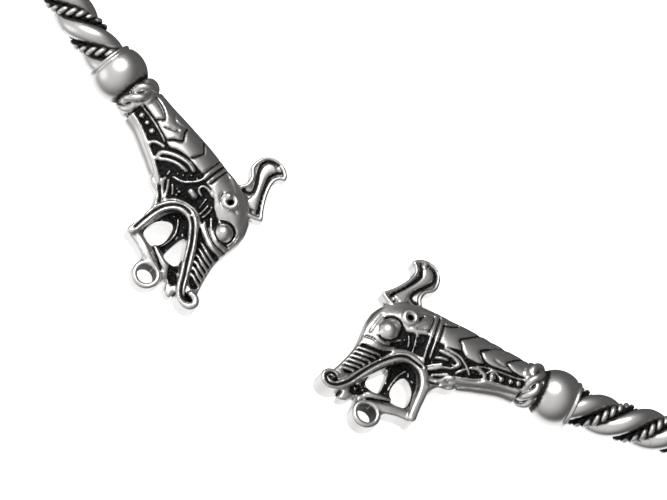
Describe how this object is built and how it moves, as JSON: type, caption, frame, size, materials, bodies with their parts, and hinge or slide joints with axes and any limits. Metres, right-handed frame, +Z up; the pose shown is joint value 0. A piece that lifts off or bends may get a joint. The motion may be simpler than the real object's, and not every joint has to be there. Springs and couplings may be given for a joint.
{
  "type": "twisted torc with beast-head terminals",
  "caption": "Open neck ring of twisted wires and fine cords, its ends cast as scroll-jawed, crested beast heads above ball and plait collars.",
  "frame": {"origin": "on the surface the ring lies on, below the centre of its bounding box", "axes": "+Z up, out of the flat ring; +Y from the open front, with its two heads, to the back; +X from the left head to the right head"},
  "size_m": [0.1524, 0.1536, 0.0072],
  "materials": {
    "silver_wire": "polished silver, slightly worn, dark where it meets the cords",
    "fine_wire_cord": "fine twisted wire, blackened between the plies",
    "cast_silver": "cast silver, polished on the raised forms and black in the recesses"
  },
  "bodies": {
    "root": {"wire_1": "silver_wire", "wire_2": "silver_wire", "cord_1": "fine_wire_cord", "cord_2": "fine_wire_cord", "terminal_left": "cast_silver", "terminal_right": "cast_silver"}
  },
  "joints": []
}
